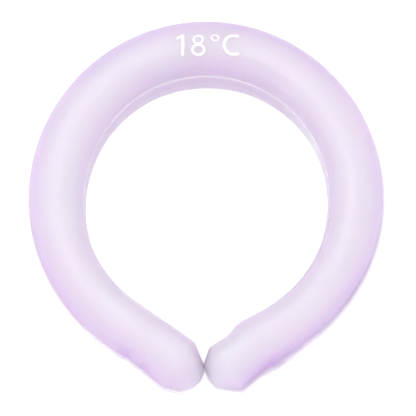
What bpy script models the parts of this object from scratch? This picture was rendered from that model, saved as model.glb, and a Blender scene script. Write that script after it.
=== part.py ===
"""A neck cooler: an open-fronted ring of two welded film halves, filled with a coolant.

The ring lies flat. Its back is towards +Y, its two rounded tips meet at the front, towards -Y,
and the weld between the upper and the lower film runs level all the way round. Lengths are in
metres, and the origin ends up under the middle of the ring, on the face that it rests on.
"""

import math

import bmesh
import bpy
from mathutils import Vector

# Driving sizes.
NECK_WIDTH = 0.1175       # neck hole from side to side, at the weld
NECK_DEPTH = 0.1248       # the same from the back to where its curve would close at the front
TUBE_WIDTH = 0.0263       # filled tube at the weld, from foot to foot
DOME_HEIGHT = 0.0115      # top of the tube above the weld
BELLY_DEPTH = 0.0120      # resting face below the weld
FLAT_WIDTH = 0.0058       # strip of the belly that lies flat
FILM_WALL = 0.0007        # thickness of each film
OUTER_LIP = 0.0009        # weld lip that stands out beyond the tube
INNER_LIP = 0.0005        # weld lip that stands into the neck hole
WELD_GAP = 0.0003         # between the two welded lips
FILL_GAP = 0.0005         # between the films and the coolant
TIP_GAP = 0.0005          # between the two tips
TIPS_MEET_X = -0.0013     # where they meet, sideways from the ring's middle

# Where the ring's curve ends and each straight arm begins, in degrees round from the back.
LEFT_TURN = -144.8
RIGHT_TURN = 145.8

# Roundness of curves: 2 is an ellipse, more is squarer and less is more pointed.
DOME_ROUND = 2.25         # the dome's section
END_ROUND = 2.20          # the tips, seen from the side

# Sections along each stretch of the tube, and steps over the dome's section.
RING_STEPS = 44
ARM_STEPS = 10
LOBE_STEPS = 6
DOME_STEPS = 8
MERGE = 0.00001           # points nearer than this at the tips are one

# The belly's section, from the foot on the outside round to the foot on the inside. "across" is
# a share of the tube's half width, "flat" the number of half FLAT_WIDTHs added to it, and "drop"
# a share of the belly's depth. Both middle rows lie on the floor.
BELLY_ROWS = (
    {"across": 1.020, "flat": 0, "drop": 0.28},
    {"across": 1.010, "flat": 0, "drop": 0.52},
    {"across": 0.925, "flat": 0, "drop": 0.77},
    {"across": 0.700, "flat": 0, "drop": 0.94},
    {"across": 0.000, "flat": 1, "drop": 1.00},
    {"across": 0.000, "flat": -1, "drop": 1.00},
    {"across": -0.760, "flat": 0, "drop": 0.97},
    {"across": -0.970, "flat": 0, "drop": 0.84},
    {"across": -1.050, "flat": 0, "drop": 0.60},
    {"across": -1.045, "flat": 0, "drop": 0.30},
)

# Sections of the ring from its left end over the back to its right end, and of each arm from the
# ring to its lobe. "at" is a share of the stretch. "inner" and "outer" are the half widths on
# the side of the neck hole and on the outside, as shares of the tube's half width. "lip" is a
# share of OUTER_LIP, "rise" of DOME_HEIGHT, and "lean" says how far the belly's bottom leans
# into the neck hole, as a share of the tube's half width.
RING_ROWS = (
    {"at": 0.00, "inner": 0.91, "outer": 0.97, "lip": 0.9, "rise": 1.00, "lean": 0.05},
    {"at": 0.12, "inner": 0.92, "outer": 0.97, "lip": 0.8, "rise": 1.00, "lean": 0.05},
    {"at": 0.26, "inner": 1.02, "outer": 1.00, "lip": 0.6, "rise": 1.00, "lean": 0.12},
    {"at": 0.38, "inner": 1.04, "outer": 1.02, "lip": 0.6, "rise": 1.00, "lean": 0.22},
    {"at": 0.50, "inner": 1.06, "outer": 1.04, "lip": 0.6, "rise": 1.00, "lean": 0.27},
    {"at": 0.62, "inner": 1.04, "outer": 1.01, "lip": 0.9, "rise": 1.00, "lean": 0.18},
    {"at": 0.76, "inner": 0.98, "outer": 0.95, "lip": 1.3, "rise": 1.00, "lean": 0.05},
    {"at": 1.00, "inner": 0.92, "outer": 0.89, "lip": 2.0, "rise": 1.00, "lean": 0.05},
)
LEFT_ARM_ROWS = (
    {"at": 0.00, "inner": 0.91, "outer": 0.97, "lip": 0.9, "rise": 1.00, "lean": 0.05},
    {"at": 0.32, "inner": 0.92, "outer": 0.97, "lip": 0.9, "rise": 1.00, "lean": 0.05},
    {"at": 0.44, "inner": 0.93, "outer": 0.91, "lip": 1.8, "rise": 0.98, "lean": 0.05},
    {"at": 0.56, "inner": 0.94, "outer": 0.95, "lip": 0.6, "rise": 0.98, "lean": 0.05},
    {"at": 0.68, "inner": 0.95, "outer": 0.94, "lip": 1.4, "rise": 1.00, "lean": 0.05},
    {"at": 1.00, "inner": 0.95, "outer": 1.00, "lip": 1.1, "rise": 1.00, "lean": 0.05},
)
RIGHT_ARM_ROWS = (
    {"at": 0.00, "inner": 0.92, "outer": 0.89, "lip": 2.0, "rise": 1.00, "lean": 0.05},
    {"at": 0.20, "inner": 0.94, "outer": 0.96, "lip": 1.6, "rise": 1.00, "lean": 0.05},
    {"at": 0.36, "inner": 0.99, "outer": 0.95, "lip": 2.6, "rise": 0.98, "lean": 0.05},
    {"at": 0.46, "inner": 1.03, "outer": 1.03, "lip": 1.0, "rise": 0.97, "lean": 0.05},
    {"at": 0.58, "inner": 1.05, "outer": 0.94, "lip": 2.4, "rise": 0.97, "lean": 0.05},
    {"at": 0.76, "inner": 0.92, "outer": 0.93, "lip": 1.2, "rise": 1.00, "lean": 0.05},
    {"at": 1.00, "inner": 0.94, "outer": 0.92, "lip": 1.3, "rise": 1.00, "lean": 0.05},
)

# The rounded lobe that ends each arm. "length" is a share of the tube's half width, and "inner"
# and "outer" are the roundness of its outline on either side.
LEFT_LOBE = {"length": 1.06, "inner": 1.55, "outer": 1.90}
RIGHT_LOBE = {"length": 0.82, "inner": 1.80, "outer": 1.95}

# Looks of the two substances: red, green, blue and opacity, and the roughness.
FILM_LOOK = ((0.86, 0.78, 0.94, 0.55), 0.35)
COOLANT_LOOK = ((0.78, 0.68, 0.90, 1.0), 0.60)


def row_at(rows, at):
    """The sizes at a share of a stretch, on smooth curves through the rows of its table."""
    last = len(rows) - 1
    i = max(k for k in range(last) if k == 0 or rows[k]["at"] <= at)
    start, end = rows[i], rows[i + 1]
    before, after = rows[max(i - 1, 0)], rows[min(i + 2, last)]
    span = end["at"] - start["at"]
    t = (at - start["at"]) / span
    sizes = {}
    for name in start:
        leaving = span * (end[name] - before[name]) / (end["at"] - before["at"])
        arriving = span * (after[name] - start[name]) / (after["at"] - start["at"])
        sizes[name] = (
            start[name] * (2 * t**3 - 3 * t**2 + 1)
            + leaving * (t**3 - 2 * t**2 + t)
            + end[name] * (3 * t**2 - 2 * t**3)
            + arriving * (t**3 - t**2)
        )
    return sizes


def left_of(share, power):
    """The share of a width that is left at a share of the way to a rounded end."""
    return max(0.0, 1.0 - share**power) ** (1.0 / power)


class Section:
    """One section across the tube. Its outwards side is away from the neck hole."""

    def __init__(self, middle, way, sizes, lobe=None, share=0.0):
        half = TUBE_WIDTH / 2
        inner_left = left_of(share, lobe["inner"]) if lobe else 1.0
        outer_left = left_of(share, lobe["outer"]) if lobe else 1.0
        self.height_left = left_of(share, END_ROUND) if lobe else 1.0
        self.middle = middle
        self.outwards = Vector((-way.y, way.x))
        self.inner = half * sizes["inner"] * inner_left
        self.outer = half * sizes["outer"] * outer_left
        self.lean = half * sizes["lean"] * inner_left
        self.flat = FLAT_WIDTH / 2 * min(inner_left, outer_left)
        self.top = DOME_HEIGHT * sizes["rise"]
        outer_lip = OUTER_LIP * sizes["lip"]
        end_lip = (outer_lip + INNER_LIP) / 2
        self.outer_lip = outer_lip + (end_lip - outer_lip) * share**2
        self.inner_lip = INNER_LIP + (end_lip - INNER_LIP) * share**2

    def spot(self, across, height):
        place = self.middle + self.outwards * across
        return Vector((place.x, place.y, height))

    def half_at(self, share):
        """A distance outwards, from a share of the half width on that side."""
        return share * (self.outer if share > 0 else self.inner)

    def dome(self):
        """Points over the upper film, from the outer foot to the inner foot."""
        foot = WELD_GAP / 2 + FILM_WALL
        points = []
        for step in range(DOME_STEPS + 1):
            angle = math.pi * step / DOME_STEPS
            across = math.copysign(abs(math.cos(angle)) ** (2 / DOME_ROUND), math.cos(angle))
            rise = max(0.0, math.sin(angle)) ** (2 / DOME_ROUND)
            height = foot + (self.top - foot) * self.height_left * rise
            points.append(self.spot(self.half_at(across), height))
        return points

    def belly(self):
        """Points under the lower film, from the outer foot to the inner foot."""
        foot = WELD_GAP / 2 + FILM_WALL
        points = [self.spot(self.outer, -foot)]
        for row in BELLY_ROWS:
            across = self.half_at(row["across"]) + self.flat * row["flat"]
            height = -foot - (BELLY_DEPTH - foot) * self.height_left * row["drop"]
            points.append(self.spot(across - self.lean * row["drop"] ** 2, height))
        points.append(self.spot(-self.inner, -foot))
        return points


def ring_at(turn):
    """The tube's middle at an angle round from the back, and the way it runs there."""
    across = (NECK_WIDTH + TUBE_WIDTH) / 2
    deep = (NECK_DEPTH + TUBE_WIDTH) / 2
    angle = math.radians(turn)
    middle = Vector((across * math.sin(angle), deep * math.cos(angle)))
    way = Vector((across * math.cos(angle), -deep * math.sin(angle))).normalized()
    return middle, way


def lobe_sections(start, out, way, sizes, lobe):
    """Sections from the end of an arm to the tip of its lobe, where no width is left."""
    sections = []
    for step in range(1, LOBE_STEPS + 1):
        share = math.sin(math.pi / 2 * step / LOBE_STEPS)
        middle = start + out * share * lobe["length"] * TUBE_WIDTH / 2
        sections.append(Section(middle, way, sizes, lobe, share))
    return sections


def arm_sections(turn, rows, lobe):
    """Sections of one arm, from the ring to its tip. The arm is as long as it takes for its
    lobe to stop half the tip gap short of where the tips meet."""
    start, way = ring_at(turn)
    inwards = math.copysign(1, -start.x)
    out = way * math.copysign(1, way.x * inwards)
    belly_reach = max(-row["across"] for row in BELLY_ROWS)
    reach = 0.0
    for section in lobe_sections(Vector((0, 0)), out, way, rows[-1], lobe):
        width = max(section.inner + section.inner_lip, section.inner * belly_reach)
        reach = max(reach, (section.middle - section.outwards * width).x * inwards)
    run = ((TIPS_MEET_X - start.x) * inwards - TIP_GAP / 2 - reach) / abs(way.x)
    sections = []
    for step in range(1, ARM_STEPS + 1):
        at = step / ARM_STEPS
        sections.append(Section(start + out * run * at, way, row_at(rows, at)))
    return sections + lobe_sections(sections[-1].middle, out, way, rows[-1], lobe)


def tube_sections():
    """Every section of the tube, from the left tip over the back to the right tip."""
    left = arm_sections(LEFT_TURN, LEFT_ARM_ROWS, LEFT_LOBE)
    right = arm_sections(RIGHT_TURN, RIGHT_ARM_ROWS, RIGHT_LOBE)
    ring = []
    for step in range(RING_STEPS + 1):
        at = step / RING_STEPS
        middle, way = ring_at(LEFT_TURN + (RIGHT_TURN - LEFT_TURN) * at)
        ring.append(Section(middle, way, row_at(RING_ROWS, at)))
    return left[::-1] + ring + right


def neighbour_in(group, vert):
    """The point of the group that an edge joins to this one."""
    return next(edge.other_vert(vert) for edge in vert.link_edges if edge.other_vert(vert) in group)


def loft(chains, closed):
    """Extrudes the first chain of points on to each of the others, and closes both tips."""
    bm = bmesh.new()
    verts = [bm.verts.new(point) for point in chains[0]]
    edges = [bm.edges.new(pair) for pair in zip(verts, verts[1:])]
    if closed:
        edges.append(bm.edges.new((verts[-1], verts[0])))
    for chain in chains[1:]:
        made = bmesh.ops.extrude_edge_only(bm, edges=edges)["geom"]
        new = {item for item in made if isinstance(item, bmesh.types.BMVert)}
        verts = [neighbour_in(new, vert) for vert in verts]
        edges = [item for item in made if isinstance(item, bmesh.types.BMEdge)]
        edges = [edge for edge in edges if new.issuperset(edge.verts)]
        for vert, point in zip(verts, chain):
            vert.co = point
    bmesh.ops.remove_doubles(bm, verts=bm.verts, dist=MERGE)
    return bm


def face_out(bm, up):
    """Turns the faces of an open sheet to its outside, which is above it or below it."""
    bmesh.ops.recalc_face_normals(bm, faces=bm.faces)
    if sum(face.normal.z * face.calc_area() for face in bm.faces) * up < 0:
        bmesh.ops.reverse_faces(bm, faces=bm.faces)
    bm.normal_update()


def add_lip(bm, sections):
    """Extrudes the sheet's rim level and outwards into the weld lip."""
    rim = [edge for edge in bm.edges if edge.is_boundary]
    feet = []
    for section in sections:
        feet.append((section.spot(section.outer, 0).xy, section.outer_lip))
        feet.append((section.spot(-section.inner, 0).xy, section.inner_lip))
    moves = {}
    for vert in {vert for edge in rim for vert in edge.verts}:
        one, other = [edge.other_vert(vert) for edge in vert.link_edges if edge.is_boundary]
        along = one.co - other.co
        side = Vector((along.y, -along.x, 0)).normalized()
        side *= math.copysign(1, side.dot(vert.normal))
        nearest = min(feet, key=lambda foot: (foot[0] - vert.co.xy).length)
        moves[vert] = side * nearest[1]
    made = bmesh.ops.extrude_edge_only(bm, edges=rim)["geom"]
    for vert in [item for item in made if isinstance(item, bmesh.types.BMVert)]:
        vert.co += moves[neighbour_in(moves, vert)]


def as_object(name, bm, material):
    """An object of the finished mesh, shaded smooth over its facets."""
    mesh = bpy.data.meshes.new(name)
    bm.to_mesh(mesh)
    bm.free()
    mesh.materials.append(material)
    mesh.shade_smooth()
    mesh.set_sharp_from_angle(angle=math.radians(50))
    piece = bpy.data.objects.new(name, mesh)
    bpy.context.collection.objects.link(piece)
    return piece


def film(name, chains, sections, up, material):
    """One welded film: a sheet over its half of the tube, with its lip, given its thickness."""
    bm = loft(chains, closed=False)
    face_out(bm, up)
    add_lip(bm, sections)
    face_out(bm, up)
    bmesh.ops.solidify(bm, geom=bm.faces[:], thickness=FILM_WALL)
    for vert in bm.verts:
        if abs(vert.co.z) < WELD_GAP / 2 + FILM_WALL / 2:
            vert.co.z = up * WELD_GAP / 2
    return as_object(name, bm, material)


def filling(name, sections, material):
    """The coolant: the outline of both films, drawn in by their wall and the gap to it."""
    bm = loft([section.dome() + section.belly()[::-1] for section in sections], closed=True)
    bmesh.ops.recalc_face_normals(bm, faces=bm.faces)
    bm.normal_update()
    moves = {vert: vert.normal * vert.calc_shell_factor() for vert in bm.verts}
    for vert, move in moves.items():
        vert.co -= move * (FILM_WALL + FILL_GAP)
    return as_object(name, bm, material)


def substance(name, look):
    colour, roughness = look
    material = bpy.data.materials.new(name)
    material.use_nodes = True
    shader = material.node_tree.nodes["Principled BSDF"]
    shader.inputs["Base Color"].default_value = (*colour[:3], 1.0)
    shader.inputs["Alpha"].default_value = colour[3]
    shader.inputs["Roughness"].default_value = roughness
    shader.inputs["Metallic"].default_value = 0.0
    return material


def stand_on_origin(pieces):
    """Moves the pieces so that the origin is under the middle of the ring, where it rests."""
    spots = [vert.co for piece in pieces for vert in piece.data.vertices]
    middle_x = (min(spot.x for spot in spots) + max(spot.x for spot in spots)) / 2
    middle_y = (min(spot.y for spot in spots) + max(spot.y for spot in spots)) / 2
    for piece in pieces:
        piece.location = (-middle_x, -middle_y, BELLY_DEPTH)


for old in list(bpy.data.objects):
    bpy.data.objects.remove(old)

tube = tube_sections()
film_material = substance("film", FILM_LOOK)
coolant_material = substance("coolant", COOLANT_LOOK)
stand_on_origin(
    [
        film("upper_film", [section.dome() for section in tube], tube, 1, film_material),
        film("lower_film", [section.belly() for section in tube], tube, -1, film_material),
        filling("coolant", tube, coolant_material),
    ]
)
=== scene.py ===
# %% [markdown]
# # A neck cooler
#
# The real thing is a ring that is worn round the neck. Two films of soft urethane are welded
# together along both rims, and the tube between them is filled with a cloudy wax that melts at a
# comfortable temperature. The ring is open at the front, where its two rounded ends nearly meet.
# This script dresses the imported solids: it loads them as a fixed frame and then builds a finer
# film, filling and printed marking in the same place.

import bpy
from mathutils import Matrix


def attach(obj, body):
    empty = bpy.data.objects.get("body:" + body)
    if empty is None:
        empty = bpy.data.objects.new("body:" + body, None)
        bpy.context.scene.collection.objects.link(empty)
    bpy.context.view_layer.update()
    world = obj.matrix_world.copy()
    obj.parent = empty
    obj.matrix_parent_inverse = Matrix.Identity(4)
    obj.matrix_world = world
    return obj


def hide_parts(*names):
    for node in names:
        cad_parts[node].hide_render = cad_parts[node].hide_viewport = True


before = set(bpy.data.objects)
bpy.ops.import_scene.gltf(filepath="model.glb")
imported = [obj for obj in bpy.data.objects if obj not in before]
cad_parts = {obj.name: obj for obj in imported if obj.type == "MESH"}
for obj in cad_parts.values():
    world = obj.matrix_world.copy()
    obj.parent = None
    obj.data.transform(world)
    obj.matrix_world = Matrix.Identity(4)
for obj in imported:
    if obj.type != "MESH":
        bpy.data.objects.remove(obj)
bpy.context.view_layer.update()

# %% [markdown]
# ## Sizes
#
# Most of these are the sizes that the solids were made with, in metres, and the rest refine
# their arms and ends. The neck hole and the tube give the middle line, and the dome and the belly
# give the thickness. The ring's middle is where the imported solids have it: the origin is on the
# floor under the middle of the whole object. A roundness of 2 is an ellipse, more is squarer and
# less is more pointed.

# %% Sizes
import math

import bmesh
import bpy
from mathutils import Matrix, Vector
from mathutils.bvhtree import BVHTree

NECK_WIDTH = 0.1175       # neck hole from side to side, at the weld
NECK_DEPTH = 0.1248       # the same from the back to where its curve would close
TUBE_WIDTH = 0.0263       # filled tube at the weld, from foot to foot
DOME_HEIGHT = 0.0115      # top of the tube above the weld
BELLY_DEPTH = 0.0120      # resting face below the weld
FLAT_WIDTH = 0.0058       # strip of the belly that lies flat
FILM_WALL = 0.0007        # thickness of each film
LIP_HALF = 0.00085        # half the thickness of both lips together, at their root
OUTER_LIP = 0.0009        # weld lip that stands out beyond the tube
INNER_LIP = 0.0005        # weld lip that stands into the neck hole
LEFT_TURN = -144.8        # where the ring ends and the left arm begins, in degrees from the back
RIGHT_TURN = 145.8        # the same on the right
LEFT_ARM_RUN = 0.03381    # straight stretch of the left arm, up to its rounded end
RIGHT_ARM_RUN = 0.03709   # the same on the right
DOME_ROUND = 2.25         # roundness of the dome's section
END_ROUND = 2.20          # roundness of the belly at the ends, seen from the side
DOME_END_ROUND = 1.70     # the same of the dome, which slopes more gently
RING_MIDDLE = Vector((0.0, 0.00347))
HALF_TUBE = TUBE_WIDTH / 2
WELD_HEIGHT = BELLY_DEPTH
print("tube", TUBE_WIDTH * 1000, "mm wide,", (DOME_HEIGHT + BELLY_DEPTH) * 1000, "mm thick")

# %% [markdown]
# ## How the tube swells and narrows
#
# A welded tube isn't a perfect sweep: it is fullest at the back of the neck, and near each end
# the film puckers, so its width and its lip change. It could be modelled as an even tube and
# pushed about by hand, but a table is easier to correct against a photograph. Each row is one
# section. "at" is a share of the stretch, "inner" and "outer" are half widths as shares of the
# tube's half width, "lip" is a share of the outer lip, "rise" of the dome, and "lean" says how
# far the belly leans into the neck hole. Smooth curves join the rows.

# %% Tables of sections
RING_ROWS = (
    {"at": 0.00, "inner": 0.91, "outer": 0.97, "lip": 0.9, "rise": 1.00, "lean": 0.05},
    {"at": 0.12, "inner": 0.92, "outer": 0.97, "lip": 0.8, "rise": 1.00, "lean": 0.05},
    {"at": 0.26, "inner": 1.02, "outer": 1.00, "lip": 0.6, "rise": 1.00, "lean": 0.12},
    {"at": 0.38, "inner": 1.04, "outer": 1.02, "lip": 0.6, "rise": 1.00, "lean": 0.22},
    {"at": 0.50, "inner": 1.06, "outer": 1.04, "lip": 0.6, "rise": 1.00, "lean": 0.27},
    {"at": 0.62, "inner": 1.04, "outer": 1.01, "lip": 0.9, "rise": 1.00, "lean": 0.18},
    {"at": 0.76, "inner": 0.98, "outer": 0.95, "lip": 1.3, "rise": 1.00, "lean": 0.05},
    {"at": 1.00, "inner": 0.92, "outer": 0.89, "lip": 2.0, "rise": 1.00, "lean": 0.05},
)
LEFT_ARM_ROWS = (
    {"at": 0.00, "inner": 0.91, "outer": 0.97, "lip": 0.9, "rise": 1.00, "lean": 0.05},
    {"at": 0.32, "inner": 0.92, "outer": 0.97, "lip": 0.9, "rise": 1.00, "lean": 0.05},
    {"at": 0.44, "inner": 0.93, "outer": 0.91, "lip": 1.8, "rise": 0.98, "lean": 0.05},
    {"at": 0.56, "inner": 0.94, "outer": 0.95, "lip": 0.6, "rise": 0.98, "lean": 0.05},
    {"at": 0.68, "inner": 0.95, "outer": 0.94, "lip": 1.4, "rise": 1.00, "lean": 0.05},
    {"at": 1.00, "inner": 0.95, "outer": 1.00, "lip": 1.1, "rise": 1.00, "lean": 0.05},
)
RIGHT_ARM_ROWS = (
    {"at": 0.00, "inner": 0.92, "outer": 0.89, "lip": 2.0, "rise": 1.00, "lean": 0.05},
    {"at": 0.20, "inner": 0.94, "outer": 0.96, "lip": 1.6, "rise": 1.00, "lean": 0.05},
    {"at": 0.36, "inner": 0.99, "outer": 0.95, "lip": 2.6, "rise": 0.98, "lean": 0.05},
    {"at": 0.46, "inner": 1.03, "outer": 1.03, "lip": 1.0, "rise": 0.97, "lean": 0.05},
    {"at": 0.58, "inner": 1.05, "outer": 0.94, "lip": 2.4, "rise": 0.97, "lean": 0.05},
    {"at": 0.76, "inner": 0.92, "outer": 0.93, "lip": 1.2, "rise": 1.00, "lean": 0.05},
    {"at": 1.00, "inner": 0.94, "outer": 0.98, "lip": 1.5, "rise": 1.00, "lean": 0.05},
)


def eased(start, end, leaving, arriving, t):
    """A smooth curve from start to end, with the slopes at which it leaves and arrives."""
    return (
        start * (2 * t**3 - 3 * t**2 + 1)
        + leaving * (t**3 - 2 * t**2 + t)
        + end * (3 * t**2 - 2 * t**3)
        + arriving * (t**3 - t**2)
    )


def row_at(rows, at):
    """The sizes at a share of a stretch, on smooth curves through the rows of its table."""
    last = len(rows) - 1
    i = max(k for k in range(last) if k == 0 or rows[k]["at"] <= at)
    start, end = rows[i], rows[i + 1]
    before, after = rows[max(i - 1, 0)], rows[min(i + 2, last)]
    span = end["at"] - start["at"]
    t = (at - start["at"]) / span
    sizes = {}
    for name in start:
        leaving = span * (end[name] - before[name]) / (end["at"] - before["at"])
        arriving = span * (after[name] - start[name]) / (after["at"] - start["at"])
        sizes[name] = eased(start[name], end[name], leaving, arriving, t)
    return sizes


print("half way round the back:", row_at(RING_ROWS, 0.5))

# %% [markdown]
# ## The two ends
#
# Each end closes over a rounded lobe. The weld there was trimmed with a few straight cuts, so
# from above the lobe is a polygon whose corners lie on a curve, and a formula gives both. Each
# end has its length as a share of the tube's half width, the roundness of its inner and outer
# side, and the places of the corners as shares of its length.

# %% The ends
LEFT_END = {
    "length": 1.085,
    "inner": 1.80,
    "inner_corners": (0.12, 0.86),
    "outer": 2.15,
    "outer_corners": (0.20, 0.66, 0.93),
}
RIGHT_END = {
    "length": 0.82,
    "inner": 2.00,
    "inner_corners": (0.20, 0.85),
    "outer": 2.15,
    "outer_corners": (0.14, 0.94),
}


def left_of(share, roundness):
    """The share of a width that is left at a share of the way to a rounded end."""
    return max(0.0, 1.0 - share**roundness) ** (1.0 / roundness)


def snipped(share, roundness, corners):
    """The same, but straight between the corners, as if cut with scissors."""
    places = (0.0, *corners, 1.0)
    i = max(k for k in range(len(places) - 1) if k == 0 or places[k] <= share)
    t = (share - places[i]) / (places[i + 1] - places[i])
    return left_of(places[i], roundness) * (1 - t) + left_of(places[i + 1], roundness) * t


print("left of the width at half of the left end:", round(left_of(0.5, LEFT_END["outer"]), 2))

# %% [markdown]
# ## Slices along the middle line
#
# The tube is cut into thin slices, from the left end over the back to the right end. The ring is
# part of an ellipse and the arms run on straight. Every slice knows its place, the way outwards,
# its widths and how far it lies from each tip, so that all that follows can be placed by a
# distance along the tube.

# %% Slices
RING_SLICES = 220
ARM_SLICES = 60
END_SLICES = 26


def ring_at(turn):
    """The tube's middle at an angle round from the back, and the way it runs there."""
    across = (NECK_WIDTH + TUBE_WIDTH) / 2
    deep = (NECK_DEPTH + TUBE_WIDTH) / 2
    angle = math.radians(turn)
    middle = Vector((across * math.sin(angle), deep * math.cos(angle)))
    way = Vector((across * math.cos(angle), -deep * math.sin(angle))).normalized()
    return middle, way


def make_slice(middle, way, sizes, end=None, share=0.0):
    """The place and real sizes of one slice, at a share of an end where it lies in one."""
    inner_left = snipped(share, end["inner"], end["inner_corners"]) if end else 1.0
    outer_left = snipped(share, end["outer"], end["outer_corners"]) if end else 1.0
    lip = OUTER_LIP * sizes["lip"]
    end_lip = (lip + INNER_LIP) / 2
    return {
        "middle": middle + RING_MIDDLE,
        "outwards": Vector((-way.y, way.x)),
        "inner": HALF_TUBE * sizes["inner"] * inner_left,
        "outer": HALF_TUBE * sizes["outer"] * outer_left,
        "lean": HALF_TUBE * sizes["lean"] * inner_left,
        "flat": FLAT_WIDTH / 2 * min(inner_left, outer_left),
        "rise": DOME_HEIGHT * sizes["rise"],
        "dome_left": left_of(share, DOME_END_ROUND) if end else 1.0,
        "belly_left": left_of(share, END_ROUND) if end else 1.0,
        "outer_lip": lip + (end_lip - lip) * share**2,
        "inner_lip": INNER_LIP + (end_lip - INNER_LIP) * share**2,
    }


def arm_slices(turn, run, rows, end):
    """The slices of one arm and its rounded end, from the ring to the tip."""
    start, way = ring_at(turn)
    out = way if turn > 0 else -way
    made = []
    for step in range(1, ARM_SLICES + 1):
        at = step / ARM_SLICES
        made.append(make_slice(start + out * run * at, way, row_at(rows, at)))
    for step in range(1, END_SLICES + 1):
        share = math.sin(math.pi / 2 * step / END_SLICES)
        middle = start + out * (run + share * end["length"] * HALF_TUBE)
        made.append(make_slice(middle, way, rows[-1], end, share))
    return made


slices = arm_slices(LEFT_TURN, LEFT_ARM_RUN, LEFT_ARM_ROWS, LEFT_END)[::-1]
for step in range(RING_SLICES + 1):
    at = step / RING_SLICES
    middle, way = ring_at(LEFT_TURN + (RIGHT_TURN - LEFT_TURN) * at)
    slices.append(make_slice(middle, way, row_at(RING_ROWS, at)))
slices += arm_slices(RIGHT_TURN, RIGHT_ARM_RUN, RIGHT_ARM_ROWS, RIGHT_END)

tube_run = 0.0
for before, piece in zip(slices[:1] + slices, slices):
    tube_run += (piece["middle"] - before["middle"]).length
    piece["from_left"] = tube_run
for piece in slices:
    piece["from_right"] = tube_run - piece["from_left"]
print(len(slices), "slices over", round(tube_run * 1000, 1), "mm of tube")

# %% [markdown]
# ## Over the dome
#
# A slice goes round in four parts: over the dome, out and back over the inner lip, under the
# belly, and out and back over the outer lip. The dome is the upper film, blown up by the filling
# into a rounded arch, and a formula gives it. A point of a slice is a place across, positive
# outwards, and a height above the weld.

# %% Over the dome
DOME_STEPS = 30


def over_dome(piece):
    """(across, height) points over the dome, from the outer foot to the inner foot."""
    points = []
    for step in range(DOME_STEPS + 1):
        angle = math.pi * step / DOME_STEPS
        across = math.copysign(abs(math.cos(angle)) ** (2 / DOME_ROUND), math.cos(angle))
        arch = max(0.0, math.sin(angle)) ** (2 / DOME_ROUND)
        reach = piece["outer"] if across > 0 else piece["inner"]
        height = LIP_HALF + (piece["rise"] - LIP_HALF) * piece["dome_left"] * arch
        points.append((across * reach, height))
    return points


print(len(over_dome(slices[0])), "points over the dome")

# %% [markdown]
# ## Folds inside the neck hole
#
# The ring was welded flat and round, so the lower film has a little too much length on the inside
# of the curve, and lies in a few long shallow folds there. They could be painted on as bump, but
# real dents shade right from every side. Each row is one fold: where it starts and ends as shares
# of the tube's run, its height at both ends, negative because it lies below the weld, and how
# deep it is.

# %% Folds
FOLDS = (
    {"start": 0.34, "end": 0.72, "from": -0.0014, "to": -0.0058, "deep": 0.00035},
    {"start": 0.26, "end": 0.60, "from": -0.0052, "to": -0.0030, "deep": 0.00030},
    {"start": 0.44, "end": 0.76, "from": -0.0060, "to": -0.0082, "deep": 0.00030},
)
FOLD_WIDTH = 0.0006


def bump(distance, width):
    """A soft round bump: 1 at its middle, and almost nothing at twice its width."""
    return math.exp(-((distance / width) ** 2))


def folded(piece, height):
    """How far the folds draw the inside of the belly in, at a height below the weld."""
    pull = 0.0
    for row in FOLDS:
        t = (piece["from_left"] / tube_run - row["start"]) / (row["end"] - row["start"])
        if 0 < t < 1:
            middle = row["from"] * (1 - t) + row["to"] * t
            pull += row["deep"] * math.sin(math.pi * t) * bump(height - middle, FOLD_WIDTH)
    return pull


print(len(FOLDS), "folds, up to", max(row["deep"] for row in FOLDS) * 1000, "mm deep")

# %% [markdown]
# ## Under the belly
#
# The lower film is deeper than the dome, bulges a little beyond the weld and lies flat where it
# rests. No one formula gives that, so it follows a short table, with a smooth curve through its
# rows. "across" is a share of the half width on that side, "flat" how many half strips are added
# to it, and "drop" a share of the belly's depth. The belly also leans into the neck hole: its
# lowest points by the slice's lean times BELLY_SAG, and higher ones by less.

# %% Under the belly
BELLY_FINENESS = 6
BELLY_ROWS = (
    {"across": 1.020, "flat": 0, "drop": 0.28},
    {"across": 1.010, "flat": 0, "drop": 0.52},
    {"across": 0.925, "flat": 0, "drop": 0.77},
    {"across": 0.700, "flat": 0, "drop": 0.94},
    {"across": 0.000, "flat": 1, "drop": 1.00},
    {"across": 0.000, "flat": -1, "drop": 1.00},
    {"across": -0.760, "flat": 0, "drop": 0.97},
    {"across": -0.970, "flat": 0, "drop": 0.84},
    {"across": -1.050, "flat": 0, "drop": 0.60},
    {"across": -1.045, "flat": 0, "drop": 0.30},
)
BELLY_SAG = 1.15


def belly_knots(piece):
    """The (across, height) points of the belly's table, and both feet, at their real size."""
    knots = [(-piece["inner"], -LIP_HALF)]
    for row in reversed(BELLY_ROWS):
        reach = piece["outer"] if row["across"] > 0 else piece["inner"]
        across = row["across"] * reach + row["flat"] * piece["flat"]
        height = -LIP_HALF - (BELLY_DEPTH - LIP_HALF) * piece["belly_left"] * row["drop"]
        knots.append((across - piece["lean"] * BELLY_SAG * row["drop"] ** 2, height))
    return [Vector(knot) for knot in knots + [(piece["outer"], -LIP_HALF)]]


def under_belly(piece):
    """(across, height) points under the belly, from the inner foot to the outer foot."""
    knots = belly_knots(piece)
    lowest = min(knot.y for knot in knots)
    last = len(knots) - 1
    points = [tuple(knots[0])]
    for i in range(last):
        before, start, end, after = (knots[min(max(i + k, 0), last)] for k in (-1, 0, 1, 2))
        for step in range(1, BELLY_FINENESS + 1):
            t = step / BELLY_FINENESS
            bend = eased(start, end, (end - before) / 2, (after - start) / 2, t)
            pull = folded(piece, bend.y) if bend.x < 0 else 0.0
            points.append((bend.x + pull, max(bend.y, lowest)))
    return points


print(len(under_belly(slices[0])), "points under the belly")

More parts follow.
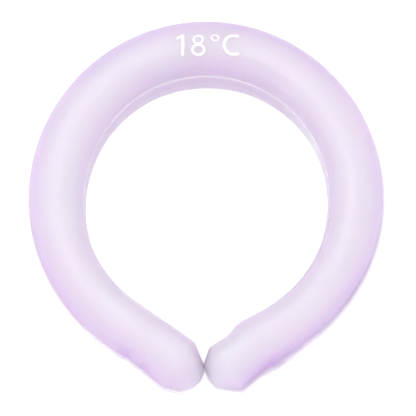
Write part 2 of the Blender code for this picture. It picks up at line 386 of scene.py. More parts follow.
# %% [markdown]
# ## The lip and its ragged places
#
# The lip stands out square to the rim, also where the rim turns round the ends, so each slice
# needs the rim's own direction and not only its way outwards. Near both ends the trimmed lip is
# torn and curled. Each row of RAGGED is one such place on the outer rim: how far from its tip,
# how long, how much lip is added or lost as a share of OUTER_LIP, and how far it curls up.

# %% Which way the lip points
RAGGED = (
    {"arm": "right", "from_tip": 0.0345, "long": 0.0009, "lip": -0.7, "curl": 0.0007},
    {"arm": "right", "from_tip": 0.0325, "long": 0.0009, "lip": 0.3, "curl": 0.0003},
    {"arm": "right", "from_tip": 0.0305, "long": 0.0008, "lip": -0.6, "curl": 0.0009},
    {"arm": "right", "from_tip": 0.0280, "long": 0.0009, "lip": 0.4, "curl": 0.0005},
    {"arm": "right", "from_tip": 0.0262, "long": 0.0008, "lip": -0.8, "curl": 0.0009},
    {"arm": "right", "from_tip": 0.0235, "long": 0.0012, "lip": 0.2, "curl": 0.0002},
    {"arm": "left", "from_tip": 0.0370, "long": 0.0016, "lip": 0.6, "curl": 0.0010},
    {"arm": "left", "from_tip": 0.0335, "long": 0.0014, "lip": -0.8, "curl": 0.0005},
    {"arm": "left", "from_tip": 0.0270, "long": 0.0012, "lip": -0.4, "curl": 0.0004},
)


def near_row(piece, row):
    """How near a slice lies to a row of a table that is placed by its distance from a tip."""
    return bump(piece["from_" + row["arm"]] - row["from_tip"], row["long"])


def foot(piece, side):
    """The point where the film meets the lip, on the outer side (1) or the inner side (-1)."""
    reach = piece["outer"] if side > 0 else -piece["inner"]
    return piece["middle"] + piece["outwards"] * reach


def set_lip(i, side):
    """Stores which way the lip of one slice points on a side, how wide it is and its curl."""
    piece = slices[i]
    name = "outer" if side > 0 else "inner"
    if 0 < i < len(slices) - 1:
        along = foot(slices[i + 1], side) - foot(slices[i - 1], side)
        away = piece["outwards"] * side
    else:
        neighbour = slices[1 if i == 0 else -2]
        along = foot(neighbour, 1) - foot(neighbour, -1)
        away = piece["middle"] - neighbour["middle"]
    square = Vector((along.y, -along.x)).normalized()
    piece[name + "_way"] = square * math.copysign(1, square.dot(away))
    width, curl = piece[name + "_lip"], 0.0
    if side > 0:
        for row in RAGGED:
            width += row["lip"] * OUTER_LIP * near_row(piece, row)
            curl += row["curl"] * near_row(piece, row)
    piece[name + "_width"] = max(width, INNER_LIP / 2)
    piece[name + "_curl"] = curl


for i in range(len(slices)):
    set_lip(i, 1)
    set_lip(i, -1)
widths = [piece["outer_width"] * 1000 for piece in slices]
print("outer lip from", round(min(widths), 2), "to", round(max(widths), 2), "mm")

# %% [markdown]
# ## The lip's section
#
# The two films are pressed into one at the lip, so its edge comes out thinner than its root, and
# the weld leaves a faint groove along its upper face. The rows run out over that face, round the
# edge and back underneath. "out" is a share of the lip's width, and "height" of half its thickness
# at the root.

# %% The lip's section
LIP_ROWS = (
    {"out": 0.25, "height": 0.78},
    {"out": 0.45, "height": 0.76},
    {"out": 0.55, "height": 0.62},
    {"out": 0.65, "height": 0.74},
    {"out": 0.80, "height": 0.72},
    {"out": 0.95, "height": 0.45},
    {"out": 1.00, "height": 0.00},
    {"out": 0.95, "height": -0.45},
    {"out": 0.80, "height": -0.72},
    {"out": 0.25, "height": -0.78},
)


def lip_points(piece, name, side):
    """Points out over the lip and back under it."""
    points = []
    for row in LIP_ROWS:
        place = foot(piece, side) + piece[name + "_way"] * piece[name + "_width"] * row["out"]
        curl = piece[name + "_curl"] * row["out"] ** 2
        points.append(Vector((place.x, place.y, WELD_HEIGHT + LIP_HALF * row["height"] + curl)))
    return points


print(len(lip_points(slices[0], "outer", 1)), "points round each lip")

# %% [markdown]
# ## Puckers
#
# Where the film was gathered into the weld it is pulled in towards the middle of the tube. Each
# row is one soft dent: its arm, the distance from the tip, how far it runs each way, its place
# across as a share of the half width, positive outwards, how wide it is there, and how deep it
# pulls the film in, as a share of the distance from the middle. A long row draws in a whole
# stretch of the edge, and the one with a negative place lies on the inner side.

# %% Puckers
PUCKERS = (
    {"arm": "right", "from_tip": 0.0680, "long": 0.0250, "across": 0.92, "wide": 0.22, "deep": 0.06},
    {"arm": "right", "from_tip": 0.0420, "long": 0.0090, "across": 0.92, "wide": 0.16, "deep": 0.05},
    {"arm": "right", "from_tip": 0.0285, "long": 0.0065, "across": 0.92, "wide": 0.20, "deep": 0.14},
    {"arm": "right", "from_tip": 0.0170, "long": 0.0080, "across": 0.95, "wide": 0.22, "deep": 0.09},
    {"arm": "right", "from_tip": 0.0700, "long": 0.0400, "across": -0.95, "wide": 0.12, "deep": 0.05},
    {"arm": "left", "from_tip": 0.0750, "long": 0.0300, "across": 0.95, "wide": 0.16, "deep": 0.03},
    {"arm": "left", "from_tip": 0.0360, "long": 0.0040, "across": 0.90, "wide": 0.22, "deep": 0.08},
    {"arm": "left", "from_tip": 0.0290, "long": 0.0012, "across": 0.90, "wide": 0.16, "deep": 0.03},
    {"arm": "left", "from_tip": 0.0255, "long": 0.0012, "across": 0.90, "wide": 0.18, "deep": 0.04},
    {"arm": "left", "from_tip": 0.0220, "long": 0.0012, "across": 0.90, "wide": 0.16, "deep": 0.03},
    {"arm": "left", "from_tip": 0.0240, "long": 0.0070, "across": 0.95, "wide": 0.18, "deep": 0.04},
)
DEEPEST = max(row["deep"] for row in PUCKERS)


def pulled_in(piece, across):
    """The share by which the puckers draw a point of a slice towards the tube's middle."""
    share = across / HALF_TUBE
    return sum(
        row["deep"] * near_row(piece, row) * bump(share - row["across"], row["wide"])
        for row in PUCKERS
    )


print("deepest pucker", round(DEEPEST * HALF_TUBE * 1000, 1), "mm")

# %% [markdown]
# ## Painted light and shade at the tips, the sides and in the neck hole
#
# In the photograph the colour is paler in three places, and all three are painted light here: at
# the very tips, where the tube is thinnest, it lifts the shade the two ends cast on each other;
# over the inner side of the dome it is painted light, and the outer side gets painted shade; and at
# one place inside the neck hole it is a painted highlight. Each point carries that as a number,
# which the material reads later, so that the painted light follows the shape.

# %% Painted light places
TIP_FADE = 0.005
# Painted light at the tips, which lifts the shade where the two ends face each other.
TIP_PAINTED_LIGHT = 0.3
# Painted light over the inner side of the dome, and painted shade over its outer side.
SIDE_PAINTED_LIGHT_AND_SHADE = 0.15
# A painted highlight on the belly at one place inside the neck hole.
PAINTED_HIGHLIGHTS = ({"arm": "right", "from_tip": 0.155, "long": 0.020, "pale": 0.45},)


def painted_light_on_dome(piece, across):
    """The painted light on a point of the dome: at the tips, and inwards; outwards it is painted
    shade.
    """
    from_tip = min(piece["from_left"], piece["from_right"])
    return TIP_PAINTED_LIGHT * bump(from_tip, TIP_FADE) - SIDE_PAINTED_LIGHT_AND_SHADE * across / HALF_TUBE


def painted_light_on_belly(piece, across):
    """The painted light on a point of the belly: at the tips, and the painted highlight inside."""
    pale = TIP_PAINTED_LIGHT * bump(min(piece["from_left"], piece["from_right"]), TIP_FADE)
    if across < 0:
        pale += sum(row["pale"] * near_row(piece, row) for row in PAINTED_HIGHLIGHTS)
    return pale


print("paler by", round(painted_light_on_dome(slices[0], 0.0), 2), "at the left tip")

# %% [markdown]
# ## The welded film
#
# Each film is one flat sheet in real life, and Blender can treat it so: a flat grid is laid out
# and rolled round the slices, a row of its points for each line along the tube. Rolling one
# sheet right round, with the lips as two folds in it, keeps the weld a single piece. The seam
# where the sheet meets itself and the two tips, where a slice shrinks to a point, are closed by
# merging points that lie in the same place. Every point also carries whether it lies on the lip,
# how much painted shade its pucker's crease gets, and how much painted light it gets.

# %% One ring of points
def spot(piece, across, height):
    """The place in the scene of a point of a slice."""
    place = piece["middle"] + piece["outwards"] * across
    return Vector((place.x, place.y, WELD_HEIGHT + height))


def ring_of(piece, with_lips):
    """One closed ring of points round a slice, and what each carries: lip, crease shade, painted
    light.
    """
    points, carried = [], []
    for across, height in over_dome(piece):
        pull = pulled_in(piece, across)
        points.append(spot(piece, across * (1 - pull), height))
        # The pucker's pull also sets the painted shade in its crease, and the dome gets its painted
        # light.
        carried.append((0.0, pull / DEEPEST, painted_light_on_dome(piece, across)))
    if with_lips:
        points += lip_points(piece, "inner", -1)
        carried += [(1.0, 0.0, 0.0)] * len(LIP_ROWS)
    for across, height in under_belly(piece):
        points.append(spot(piece, across, height))
        carried.append((0.0, 0.0, painted_light_on_belly(piece, across)))
    if with_lips:
        points += lip_points(piece, "outer", 1)[::-1]
        carried += [(1.0, 0.0, 0.0)] * len(LIP_ROWS)
    return points + points[:1], carried + carried[:1]


print(len(ring_of(slices[0], True)[0]), "points in each ring")

# %% The rolled sheet
MERGE = 0.000002


def rolled_sheet(with_lips):
    """A grid rolled round all the slices, closed along its seam and at both tips."""
    rings = [ring_of(piece, with_lips) for piece in slices]
    along, around = len(rings) - 1, len(rings[0][0]) - 1
    bm = bmesh.new()
    bmesh.ops.create_grid(bm, x_segments=along, y_segments=around, size=1.0)
    layers = [bm.verts.layers.float.new(name) for name in ("lip", "crease_shade", "painted_light")]
    for vert in bm.verts:
        i = round((vert.co.x + 1) / 2 * along)
        j = round((vert.co.y + 1) / 2 * around)
        points, carried = rings[i]
        vert.co = points[j]
        for layer, value in zip(layers, carried[j]):
            vert[layer] = value
    bmesh.ops.remove_doubles(bm, verts=bm.verts, dist=MERGE)
    bmesh.ops.recalc_face_normals(bm, faces=bm.faces)
    bm.normal_update()
    return bm


def as_piece(name, bm, replaced):
    """An object of the finished mesh, smooth, riding with the ring in place of its solids."""
    open_edges = sum(1 for edge in bm.edges if edge.is_boundary)
    mesh = bpy.data.meshes.new(name)
    bm.to_mesh(mesh)
    bm.free()
    mesh.shade_smooth()
    made = bpy.data.objects.new(name, mesh)
    bpy.context.scene.collection.objects.link(made)
    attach(made, "root")
    if replaced:
        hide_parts(*replaced)
    print(name, len(mesh.polygons), "faces,", open_edges, "open edges")
    return made


skin = rolled_sheet(with_lips=True)
print("volume inside", round(skin.calc_volume(signed=True) * 1e6, 1), "cm3")
dome_tree = BVHTree.FromBMesh(skin)
film = as_piece("welded_film", skin, ["upper_film", "lower_film"])

# %% [markdown]
# ## The filling
#
# The wax fills the tube up to the film, so it takes the same slices without their lips, and
# every point is then drawn in by the film's thickness. It is a piece of its own because it is
# what gives the ring its cloudy body: light goes through the film and comes back from it.

# %% The filling
wax = rolled_sheet(with_lips=False)
drawn_in = {vert: vert.normal * vert.calc_shell_factor() * FILM_WALL for vert in wax.verts}
for vert, move in drawn_in.items():
    vert.co -= move
print("wax", round(wax.calc_volume(signed=True) * 1e6, 1), "cm3")
filling = as_piece("wax_filling", wax, ["coolant"])

# %% [markdown]
# ## Strokes for the printed marking
#
# White figures are printed on the film at the back of the neck: the temperature at which the wax
# melts. A font could set them, but a few strokes are enough: rings, a swept arc and bars. Each
# kind is made by one bmesh operator from a simple start, at a size of one, and then stretched
# and moved to its place.

# %% Strokes
RING_STEPS = 72
ARC_STEPS = 64
BAR_STEPS = 12


def lay_out(verts, scale, middle, lift):
    """Stretches points about the origin, moves them to their place and lifts them."""
    for vert in verts:
        x, y = vert.co.x * scale[0] + middle[0], vert.co.y * scale[1] + middle[1]
        vert.co = (x, y, lift)


def draw_ring(bm, middle, radii, width, lift):
    """A closed round stroke: two circles bridged."""
    edges = []
    for side in (-0.5, 0.5):
        circle = bmesh.ops.create_circle(bm, segments=RING_STEPS, radius=1.0)["verts"]
        lay_out(circle, [radius + width * side for radius in radii], middle, lift)
        edges += {edge for vert in circle for edge in vert.link_edges}
    bmesh.ops.bridge_loops(bm, edges=edges)


def draw_arc(bm, middle, radii, width, start, turn, lift):
    """An open round stroke: one short edge swept round its middle."""
    others = set(bm.verts)
    across = width / (radii[0] + radii[1])
    begin = Vector((math.cos(math.radians(start)), math.sin(math.radians(start)), 0))
    ends = [bm.verts.new(begin * (1 + across * side)) for side in (-1, 1)]
    edge = bm.edges.new(ends)
    bmesh.ops.spin(
        bm,
        geom=ends + [edge],
        cent=(0, 0, 0),
        axis=(0, 0, 1),
        angle=math.radians(turn),
        steps=ARC_STEPS,
    )
    lay_out(set(bm.verts) - others, radii, middle, lift)


def draw_bar(bm, start, end, width, lift):
    """A straight stroke: a narrow grid turned and moved into place."""
    way = Vector(end) - Vector(start)
    made = bmesh.ops.create_grid(bm, x_segments=BAR_STEPS, y_segments=2, size=0.5)["verts"]
    lay_out(made, (way.length, width), (way.length / 2, 0), lift)
    turn = Matrix.Rotation(math.atan2(way.y, way.x), 3, "Z")
    bmesh.ops.rotate(bm, verts=made, cent=(0, 0, 0), matrix=turn)
    bmesh.ops.translate(bm, verts=made, vec=(*start, 0))


print("strokes of", RING_STEPS, "steps round a ring and", ARC_STEPS, "along an arc")

# %% [markdown]
# ## The flat figures
#
# Places and widths are in millimetres: sideways from the ring's middle, and up from the foot of
# the figures. Where two strokes cross, one is lifted a little, so that they don't lie in one
# plane. All strokes are cut finer at the end, because they have to bend with the dome.

# %% The flat figures
LOW = 0.0
LIFTED = 0.02
figures = bmesh.new()
draw_bar(figures, (-11.6, -0.1), (-11.6, 10.9), width=1.7, lift=LIFTED)
draw_bar(figures, (-14.7, 8.6), (-11.8, 10.3), width=1.3, lift=LOW)
draw_ring(figures, (-4.0, 8.2), (2.2, 2.1), width=1.25, lift=LOW)
draw_ring(figures, (-4.0, 3.1), (2.9, 2.45), width=1.4, lift=LIFTED)
draw_ring(figures, (4.2, 9.2), (1.72, 1.5), width=0.9, lift=LOW)
draw_arc(figures, (13.2, 5.6), (4.6, 4.9), width=1.68, start=58, turn=244, lift=LOW)
bmesh.ops.subdivide_edges(figures, edges=figures.edges, cuts=1, use_grid_fill=True)
print(len(figures.faces), "faces in the flat figures")

# %% [markdown]
# ## The marking on the dome
#
# Ink follows the film that it is printed on. Every point of the flat figures is dropped straight
# down on to the dome, which keeps the figures undistorted from above, and the sheet is last given
# the thickness of a coat of ink. A hair's breadth of air keeps it clear of the film.

# %% The printed marking
PRINT_FOOT_Y = 0.0714
PRINT_RISE = 0.00003
PRINT_COAT = 0.00006
MM = 0.001
ABOVE = 1.0
down = Vector((0, 0, -1))
for vert in figures.verts:
    over = Vector((vert.co.x * MM, PRINT_FOOT_Y + vert.co.y * MM, ABOVE))
    landed = dome_tree.ray_cast(over, down)[0]
    vert.co = landed - down * (PRINT_RISE + vert.co.z * MM)
bmesh.ops.recalc_face_normals(figures, faces=figures.faces)
if sum(face.normal.z for face in figures.faces) < 0:
    bmesh.ops.reverse_faces(figures, faces=figures.faces)
bmesh.ops.solidify(figures, geom=figures.faces[:], thickness=PRINT_COAT)
marking = as_piece("printed_marking", figures, [])
print("marking", [round(size * 1000, 1) for size in marking.dimensions], "mm")

# %% [markdown]
# ## Helpers for materials
#
# A material is a tree of nodes, and most of its lines would only set a number or draw a link.
# Five helpers do that: one adds a node, one feeds an input from a number or from another node,
# and three make the nodes that come back again and again.

# %% Helpers for materials
def add_node(tree, kind, **settings):
    """A new node of a kind, with its settings."""
    node = tree.nodes.new(kind)
    for name, value in settings.items():
        setattr(node, name, value)
    return node


def feed(tree, node, name, source):
    """Links a source to an input of a node, or sets a plain number there."""
    if isinstance(source, bpy.types.NodeSocket):
        tree.links.new(source, node.inputs[name])
    else:
        node.inputs[name].default_value = source


def worked_out(tree, operation, *sources, clamp=False):
    """The output of a Math node."""
    node = add_node(tree, "ShaderNodeMath", operation=operation, use_clamp=clamp)
    for place, source in enumerate(sources):
        feed(tree, node, place, source)
    return node.outputs[0]


def way_between(tree, value, low, high, top=1.0):
    """How far a value lies from low to high, from 0 up to top."""
    node = add_node(tree, "ShaderNodeMapRange")
    for name, source in (("Value", value), ("From Min", low), ("From Max", high), ("To Max", top)):
        feed(tree, node, name, source)
    return node.outputs["Result"]


def blended(tree, factor, first, second, **settings):
    """The output of a Mix node."""
    node = add_node(tree, "ShaderNodeMix", **settings)
    for name, source in (("Factor", factor), ("A", first), ("B", second)):
        feed(tree, node, name, source)
    return node.outputs["Result"]


print("five helpers for node trees")

# %% [markdown]
# ## Painted light and shade in the lavender
#
# Looked at closely, the ring is deepest low on the dome, a little above the weld, pale over the
# crown, and deeper in the puckers and at the back. Here that is painted light and shade: painted
# shade low on the dome, in the creases of the puckers and at the back, a painted highlight over
# the crown, and painted light on the weld's foot and the belly. A colour ramp over the height
# gives the first, the place along Y the shade at the back, and the numbers that the points carry
# the rest. The height comes from the object's own coordinates, because every piece sits at the
# origin, as the imported solids do.

# %% Painted light and shade
# Painted light and shade at a share of the height: the weld lies at 0.51 and the crown at 1.
PAINTED_LIGHT_STOPS = (
    (0.01, 0.60),
    (0.42, 0.55),
    (0.50, 0.55),
    (0.53, 0.90),
    (0.56, 0.75),
    (0.60, 0.32),
    (0.75, 0.50),
    (0.90, 0.72),
    (0.99, 1.00),
)
# Painted shade at the back of the dome, between these places along Y, and how deep it is.
BACK_SHADE_FROM = 0.052
BACK_SHADE_TO = 0.067
BACK_SHADE_DEPTH = 0.8


def painted_light_by_height(tree, height):
    """Painted light and shade at a height, from a ramp with a stop for each pair above."""
    share = way_between(tree, height, 0.0, BELLY_DEPTH + DOME_HEIGHT)
    ramp = add_node(tree, "ShaderNodeValToRGB")
    stops = ramp.color_ramp.elements
    for place, pale in PAINTED_LIGHT_STOPS:
        stops.new(place).color = (pale, pale, pale, 1.0)
    stops.remove(stops[0])
    stops.remove(stops[-1])
    feed(tree, ramp, "Fac", share)
    return ramp.outputs["Color"]


def painted_light_and_shade(tree, axes):
    """How pale the painted light and shade make the colour, from 0, deep, to 1, pale."""
    # Painted shade at the back of the dome.
    back_shade = way_between(tree, axes["Y"], BACK_SHADE_FROM, BACK_SHADE_TO, BACK_SHADE_DEPTH)
    on_dome = worked_out(tree, "GREATER_THAN", axes["Z"], WELD_HEIGHT)
    power = worked_out(tree, "MULTIPLY_ADD", back_shade, on_dome, 1.0)
    pale = worked_out(tree, "POWER", painted_light_by_height(tree, axes["Z"]), power)
    # Painted shade in the creases of the puckers.
    crease_shade = add_node(tree, "ShaderNodeAttribute", attribute_name="crease_shade")
    smooth = worked_out(tree, "SUBTRACT", 1.0, crease_shade.outputs["Fac"], clamp=True)
    pale = worked_out(tree, "MULTIPLY", pale, smooth)
    # Painted light at the tips and the inner side, painted shade on the outer side, and a painted
    # highlight in the neck hole.
    painted_light = add_node(tree, "ShaderNodeAttribute", attribute_name="painted_light")
    return worked_out(tree, "ADD", painted_light.outputs["Fac"], pale, clamp=True)


print(len(PAINTED_LIGHT_STOPS), "stops from the floor to the crown")

# %% [markdown]
# ## Cloudy colour and painted light
#
# Film, wax, lip and ink share one effect: the lavender above, with its painted light and shade,
# and faint pink and blue clouds in it, where the wax has set unevenly. The clouds are a soft noise
# with a slight drift from side to side. It is a node group, so that each material can use it with
# its own colours.

# %% Cloudy colour
CLOUD_SCALE = 38.0
CLOUD_DETAIL = 3.0
CLOUD_LOW = 0.38
CLOUD_HIGH = 0.62
DRIFT_SIDE = 0.05
DRIFT_SHARE = 0.15


def cloud_mask(tree, place, sideways):
    """Where the clouds are warm (0) and where they are cool (1)."""
    noise = add_node(tree, "ShaderNodeTexNoise")
    feed(tree, noise, "Scale", CLOUD_SCALE)
    feed(tree, noise, "Detail", CLOUD_DETAIL)
    feed(tree, noise, "Vector", place)
    clouds = way_between(tree, noise.outputs["Fac"], CLOUD_LOW, CLOUD_HIGH)
    drift = way_between(tree, sideways, DRIFT_SIDE, -DRIFT_SIDE)
    return blended(tree, DRIFT_SHARE, clouds, drift, data_type="FLOAT")


def cloudy_and_painted_light_group():
    """The shared group: four colours and an amount of cloud in, and one colour out."""
    tree = bpy.data.node_groups.new("cloudy_colour_and_painted_light", "ShaderNodeTree")
    face = tree.interface
    for name in ("Deep", "Pale", "Warm", "Cool"):
        face.new_socket(name, in_out="INPUT", socket_type="NodeSocketColor")
    face.new_socket("Clouds", in_out="INPUT", socket_type="NodeSocketFloat")
    face.new_socket("Color", in_out="OUTPUT", socket_type="NodeSocketColor")
    inputs = add_node(tree, "NodeGroupInput").outputs
    place = add_node(tree, "ShaderNodeTexCoord").outputs["Object"]
    split = add_node(tree, "ShaderNodeSeparateXYZ")
    feed(tree, split, "Vector", place)
    axes = split.outputs
    pale = painted_light_and_shade(tree, axes)
    mask = cloud_mask(tree, place, axes["X"])
    body = blended(tree, pale, inputs["Deep"], inputs["Pale"], data_type="RGBA")
    tint = blended(tree, mask, inputs["Warm"], inputs["Cool"], data_type="RGBA")
    mixed = blended(
        tree, inputs["Clouds"], body, tint, data_type="RGBA", blend_type="MULTIPLY"
    )
    feed(tree, add_node(tree, "NodeGroupOutput"), "Color", mixed)
    return tree


cloudy = cloudy_and_painted_light_group()
print("group", cloudy.name, "with", len(cloudy.nodes), "nodes")

# %% [markdown]
# ## Satin grain
#
# Soft urethane film isn't glossy: it has a fine satin grain, which blurs what it mirrors. The
# group puts out a height for a Bump node and a roughness that changes a little from place to
# place, so that a highlight breaks up softly.

# %% Satin grain
GRAIN_DETAIL = 4.0
PATCH_SCALE = 90.0
NOISE_MIDDLE = 0.5


def grain_group():
    """The shared group: a size and a roughness with its spread in, and a height and one out."""
    tree = bpy.data.node_groups.new("satin_grain", "ShaderNodeTree")
    face = tree.interface
    for name in ("Size", "Roughness", "Spread"):
        face.new_socket(name, in_out="INPUT", socket_type="NodeSocketFloat")
    face.new_socket("Height", in_out="OUTPUT", socket_type="NodeSocketFloat")
    face.new_socket("Roughness", in_out="OUTPUT", socket_type="NodeSocketFloat")
    inputs = add_node(tree, "NodeGroupInput").outputs
    output = add_node(tree, "NodeGroupOutput")
    place = add_node(tree, "ShaderNodeTexCoord").outputs["Object"]
    grain = add_node(tree, "ShaderNodeTexNoise")
    feed(tree, grain, "Vector", place)
    feed(tree, grain, "Scale", inputs["Size"])
    feed(tree, grain, "Detail", GRAIN_DETAIL)
    feed(tree, output, "Height", grain.outputs["Fac"])
    patches = add_node(tree, "ShaderNodeTexNoise")
    feed(tree, patches, "Vector", place)
    feed(tree, patches, "Scale", PATCH_SCALE)
    centred = worked_out(tree, "SUBTRACT", patches.outputs["Fac"], NOISE_MIDDLE)
    rough = worked_out(tree, "MULTIPLY_ADD", centred, inputs["Spread"], inputs["Roughness"])
    feed(tree, output, "Roughness", rough)
    return tree


satin = grain_group()
print("group", satin.name, "with", len(satin.nodes), "nodes")

# %% [markdown]
# ## A finish and its colours
#
# All four finishes start alike: the satin grain gives the shader its roughness and a slight
# relief, and the clouds give it its colour. Each needs only its own numbers.

# %% A finish and its colours
def colour_input(node, name, colour):
    """Sets a plain colour on an input."""
    node.inputs[name].default_value = (*colour, 1.0)


def finish_of(name, grain_size, roughness, spread, bump_height):
    """A material with satin grain on it, and its shader."""
    material = bpy.data.materials.new(name)
    material.use_nodes = True
    tree = material.node_tree
    shader = tree.nodes["Principled BSDF"]
    grain = add_node(tree, "ShaderNodeGroup", node_tree=satin)
    feed(tree, grain, "Size", grain_size)
    feed(tree, grain, "Roughness", roughness)
    feed(tree, grain, "Spread", spread)
    relief = add_node(tree, "ShaderNodeBump")
    feed(tree, relief, "Strength", 1.0)
    feed(tree, relief, "Distance", bump_height)
    feed(tree, relief, "Height", grain.outputs["Height"])
    feed(tree, shader, "Normal", relief.outputs["Normal"])
    feed(tree, shader, "Roughness", grain.outputs["Roughness"])
    return material, shader


def colour_clouds(material, shader, deep, pale, warm, cool, amount):
    """Gives a material's shader the cloudy colour, with its painted light and shade."""
    tree = material.node_tree
    clouds = add_node(tree, "ShaderNodeGroup", node_tree=cloudy)
    for name, colour in (("Deep", deep), ("Pale", pale), ("Warm", warm), ("Cool", cool)):
        colour_input(clouds, name, colour)
    feed(tree, clouds, "Clouds", amount)
    feed(tree, shader, "Base Color", clouds.outputs["Color"])


print("materials so far:", len(bpy.data.materials))

# %% [markdown]
# ## The film
#
# The film lets most light through and scatters the rest, so that the wax shows softly. Plain
# Transmission Weight does that, and the grain keeps it from looking like glass.

# %% The film
URETHANE_IOR = 1.45
film_finish, shader = finish_of(
    "satin_film", grain_size=900.0, roughness=0.33, spread=0.10, bump_height=0.00003
)
colour_clouds(
    film_finish,
    shader,
    deep=(0.89, 0.77, 0.955),
    pale=(0.975, 0.945, 0.998),
    warm=(1, 0.98, 1),
    cool=(0.975, 0.985, 1),
    amount=0.6,
)
shader.inputs["Transmission Weight"].default_value = 0.7
shader.inputs["IOR"].default_value = URETHANE_IOR
film.data.materials.append(film_finish)
print("finish", film_finish.name)

# %% [markdown]
# ## The frosted weld
#
# The lip is both films fused into one and pressed by a rough tool: it has no filling behind it,
# so it is nearly colourless and cloudier than the film. The faces whose points all lie on the lip
# take this second finish.

# %% The frosted weld
lip_finish, shader = finish_of(
    "frosted_weld", grain_size=900.0, roughness=0.42, spread=0.10, bump_height=0.00003
)
colour_clouds(
    lip_finish,
    shader,
    deep=(0.985, 0.945, 0.998),
    pale=(0.99, 0.955, 1.0),
    warm=(1, 0.985, 1),
    cool=(0.99, 0.995, 1),
    amount=1.0,
)
shader.inputs["Transmission Weight"].default_value = 0.35
shader.inputs["IOR"].default_value = URETHANE_IOR
film.data.materials.append(lip_finish)
weld_slot = film.data.materials.find(lip_finish.name)
on_lip = film.data.attributes["lip"].data
for face in film.data.polygons:
    if all(on_lip[index].value > 0.5 for index in face.vertices):
        face.material_index = weld_slot
welded = sum(1 for face in film.data.polygons if face.material_index == weld_slot)
print("finish", lip_finish.name, "on", welded, "faces")

# %% [markdown]
# ## The wax
#
# Wax takes light in under its surface and gives it back softened, which rounds the shading over
# the whole tube. So its shader is all subsurface, and light wanders about a centimetre in it.

# %% The wax
wax_finish, shader = finish_of(
    "cloudy_wax", grain_size=300.0, roughness=0.6, spread=0.1, bump_height=0.00004
)
colour_clouds(
    wax_finish,
    shader,
    deep=(0.81, 0.63, 0.925),
    pale=(0.965, 0.908, 0.998),
    warm=(1, 0.972, 1),
    cool=(0.965, 0.985, 1),
    amount=1.0,
)
shader.inputs["Subsurface Weight"].default_value = 1.0
shader.inputs["Subsurface Scale"].default_value = 0.012
shader.inputs["Subsurface Radius"].default_value = (1.0, 0.85, 1.0)
filling.data.materials.append(wax_finish)
print("finish", wax_finish.name)

# %% [markdown]
# ## The ink
#
# Printed ink is flat and matt, and a little of the lavender shines through its thin coat, so it
# isn't pure white.

# %% The ink
ink_finish, shader = finish_of(
    "white_ink", grain_size=2200.0, roughness=0.5, spread=0.1, bump_height=0.00001
)
colour_clouds(
    ink_finish,
    shader,
    deep=(0.84, 0.80, 0.87),
    pale=(0.85, 0.82, 0.875),
    warm=(1, 0.985, 1),
    cool=(0.985, 0.99, 1),
    amount=1.0,
)
marking.data.materials.append(ink_finish)
print("finish", ink_finish.name)

# %% [markdown]
# ## The floor
#
# The photograph is bright and almost without shadow, as if the ring lay on a light table. A pale
# floor that glows gives that, and it also sends light up into the ring from below.

# %% The floor
FLOOR_RADIUS = 1.5
FLOOR_GLOW = 0.62
ground = bmesh.new()
bmesh.ops.create_circle(ground, cap_ends=True, segments=96, radius=FLOOR_RADIUS)
floor_mesh = bpy.data.meshes.new("floor")
ground.to_mesh(floor_mesh)
ground.free()
floor = bpy.data.objects.new("floor", floor_mesh)
bpy.context.scene.collection.objects.link(floor)
floor_finish = bpy.data.materials.new("pale_floor")
floor_finish.use_nodes = True
shader = floor_finish.node_tree.nodes["Principled BSDF"]
colour_input(shader, "Base Color", (0.58, 0.58, 0.585))
shader.inputs["Roughness"].default_value = 0.8
colour_input(shader, "Emission Color", (1.0, 1.0, 1.0))
shader.inputs["Emission Strength"].default_value = FLOOR_GLOW
floor_mesh.materials.append(floor_finish)
print("floor", FLOOR_RADIUS * 2, "m across")

# %% [markdown]
# ## Light
#
# An even white sky lights the ring from all sides. A soft key light high up and a little to the
# back left draws the broad gloss along the crown. Wider lights, lower down at the front, the left
# and the right, keep the steep sides of the tube from going grey. All four point at the origin.

# %% Light
SKY_STRENGTH = 1.06
LIGHTS = (
    {"name": "key", "place": (-0.20, 0.40, 1.10), "size": 0.5, "power": 2.4},
    {"name": "front_fill", "place": (0.0, -0.90, 0.45), "size": 1.2, "power": 2.0},
    {"name": "left_fill", "place": (-0.90, 0.1, 0.40), "size": 0.8, "power": 0.9},
    {"name": "right_fill", "place": (0.90, 0.3, 0.40), "size": 0.8, "power": 0.9},
)


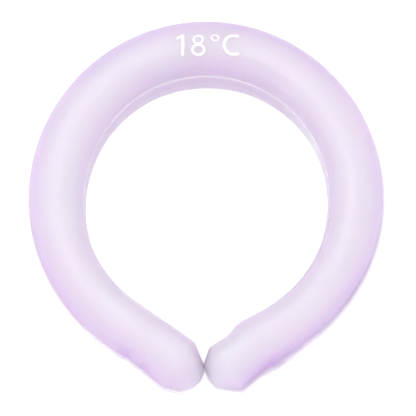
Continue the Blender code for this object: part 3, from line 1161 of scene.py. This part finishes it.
def soft_light(row):
    """A square area light at a place, pointing at the origin."""
    lamp = bpy.data.lights.new(row["name"], "AREA")
    lamp.size = row["size"]
    lamp.energy = row["power"]
    light = bpy.data.objects.new(row["name"], lamp)
    light.location = row["place"]
    towards = Vector((0, 0, 0)) - Vector(row["place"])
    light.rotation_euler = towards.to_track_quat("-Z", "Y").to_euler()
    bpy.context.scene.collection.objects.link(light)


world = bpy.data.worlds.new("white_sky")
world.use_nodes = True
sky = world.node_tree.nodes["Background"]
colour_input(sky, "Color", (1.0, 1.0, 1.01))
sky.inputs["Strength"].default_value = SKY_STRENGTH
bpy.context.scene.world = world
for row in LIGHTS:
    soft_light(row)
bpy.context.scene.view_settings.view_transform = "Standard"
print(len(LIGHTS), "soft lights under a sky of", SKY_STRENGTH)

# %% [markdown]
# ## The camera
#
# The camera looks down steeply from the front. Its distance hardly matters for so flat a thing,
# so it stands a metre off with a long lens, which is worked out from how many metres a pixel of
# the photograph shows at the weld. One point at the height of the weld, and the pixel of the
# photograph where it would show, say where the camera aims.

# %% The camera
PIXELS = 416
PIXEL = 0.000478873
ELEVATION = math.radians(72)
DISTANCE = 1.0
SENSOR = 36.0
SHOWN = Vector((0.0, 0.0017, WELD_HEIGHT))
SHOWN_AT = (206.5, 199.5)
back = Vector((0, -math.cos(ELEVATION), math.sin(ELEVATION)))
up = Vector((0, math.sin(ELEVATION), math.cos(ELEVATION)))
aim = SHOWN + Vector((PIXELS / 2 - SHOWN_AT[0], 0, 0)) * PIXEL
aim -= up * (PIXELS / 2 - SHOWN_AT[1]) * PIXEL
lens = bpy.data.cameras.new("camera")
lens.sensor_width = SENSOR
lens.lens = SENSOR * DISTANCE / (PIXELS * PIXEL)
camera = bpy.data.objects.new("camera", lens)
camera.location = aim + back * DISTANCE
camera.rotation_euler = (math.pi / 2 - ELEVATION, 0, 0)
bpy.context.scene.collection.objects.link(camera)
bpy.context.scene.camera = camera
print("lens", round(lens.lens, 1), "mm from", [round(value, 3) for value in camera.location])
